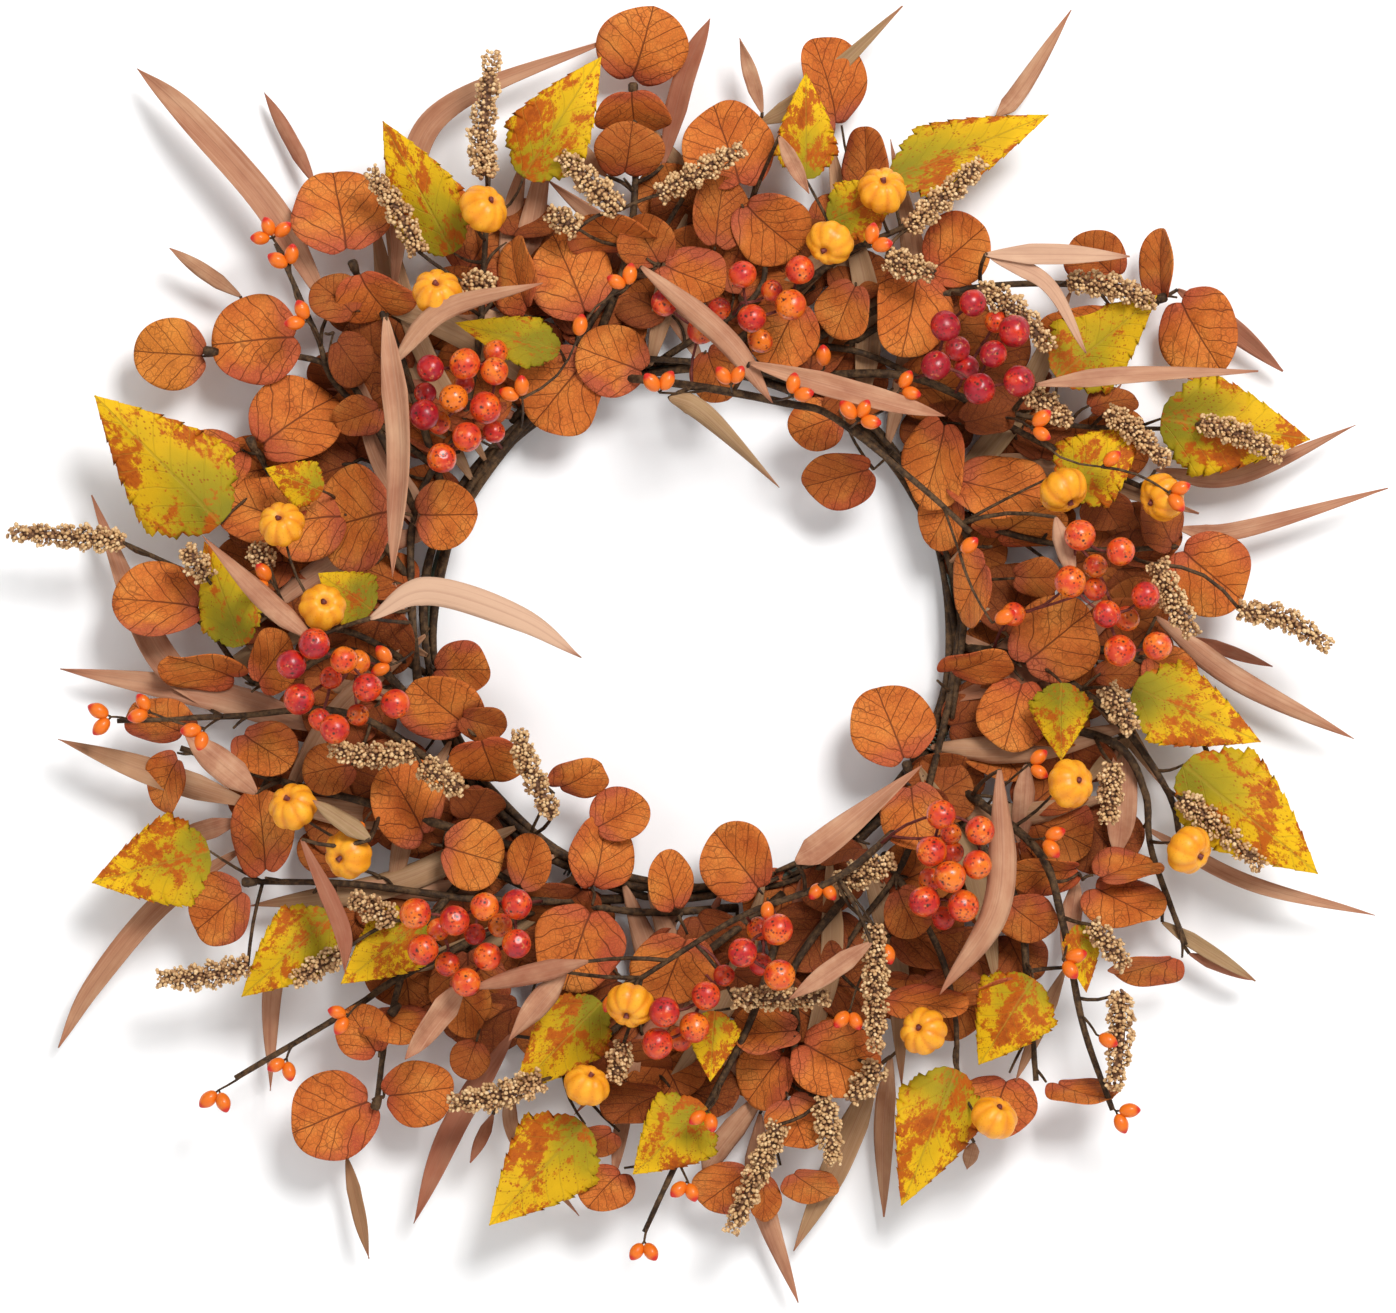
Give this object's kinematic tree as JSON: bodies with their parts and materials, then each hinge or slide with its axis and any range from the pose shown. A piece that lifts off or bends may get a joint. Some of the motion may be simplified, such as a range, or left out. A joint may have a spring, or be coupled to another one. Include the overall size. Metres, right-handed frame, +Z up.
{
  "type": "harvest door wreath",
  "caption": "Round autumn wreath of artificial leaves, berries, small pumpkins and grain spikes, wired to an open metal hoop that hangs on a door hook.",
  "frame": {"origin": "inside of the hoop's top, in the hoop's plane, where a door hook carries it", "axes": "+X to the right as seen from the front, -Y out of the door towards the viewer, +Z up"},
  "size_m": [0.6084, 0.0879, 0.5746],
  "materials": {
    "wire": "dark annealed wire, satin",
    "stem": "brown floral tape over wire",
    "eucalyptus": "printed cloth leaf, orange with plum edges and dark netted veins",
    "birch": "printed cloth leaf, yellow to olive with orange-brown blotches",
    "blade": "printed cloth leaf, dusty pink-brown to tan",
    "grain": "moulded foam seed head, tan, matt",
    "pumpkin": "coated foam, yellow-orange, satin",
    "berry": "lacquered foam berry, orange to crimson, dark specks",
    "bud": "coated foam bud, orange with a red tip, satin"
  },
  "bodies": {
    "root": {"wire_hoop": "wire", "stem_1": "stem", "stem_2": "stem", "stem_3": "stem", "stem_4": "stem", "binding_wire_1": "wire", "binding_wire_2": "wire", "binding_wire_3": "wire", "binding_wire_4": "wire", "back_blade_pick_1": "blade", "back_blade_pick_2": "blade", "back_blade_pick_3": "blade", "back_blade_pick_4": "blade", "back_blade_pick_5": "blade", "back_blade_pick_6": "blade", "eucalyptus_pick_1": "eucalyptus", "eucalyptus_pick_2": "eucalyptus", "eucalyptus_pick_3": "eucalyptus", "eucalyptus_pick_4": "eucalyptus", "eucalyptus_pick_5": "eucalyptus", "eucalyptus_pick_6": "eucalyptus", "eucalyptus_pick_7": "eucalyptus", "eucalyptus_pick_8": "eucalyptus", "eucalyptus_pick_9": "eucalyptus", "eucalyptus_pick_10": "eucalyptus", "eucalyptus_pick_11": "eucalyptus", "birch_pick_1": "birch", "birch_pick_2": "birch", "birch_pick_3": "birch", "birch_pick_4": "birch", "birch_pick_5": "birch", "birch_pick_6": "birch", "grain_pick_1": "grain", "grain_pick_2": "grain", "grain_pick_3": "grain", "grain_pick_4": "grain", "grain_pick_5": "grain", "grain_pick_6": "grain", "pumpkin_pick_1": "pumpkin", "pumpkin_pick_2": "pumpkin", "pumpkin_pick_3": "pumpkin", "pumpkin_pick_4": "pumpkin", "pumpkin_pick_5": "pumpkin", "pumpkin_pick_6": "pumpkin", "front_blade_pick_1": "blade", "front_blade_pick_2": "blade", "front_blade_pick_3": "blade", "front_blade_pick_4": "blade", "front_blade_pick_5": "blade", "bud_pick_1": "bud", "bud_pick_2": "bud", "bud_pick_3": "bud", "berry_pick_1": "berry", "berry_pick_2": "berry", "berry_pick_3": "berry", "berry_pick_4": "berry", "berry_pick_5": "berry", "berry_pick_6": "berry", "berry_pick_7": "berry", "berry_pick_8": "berry"}
  },
  "joints": []
}
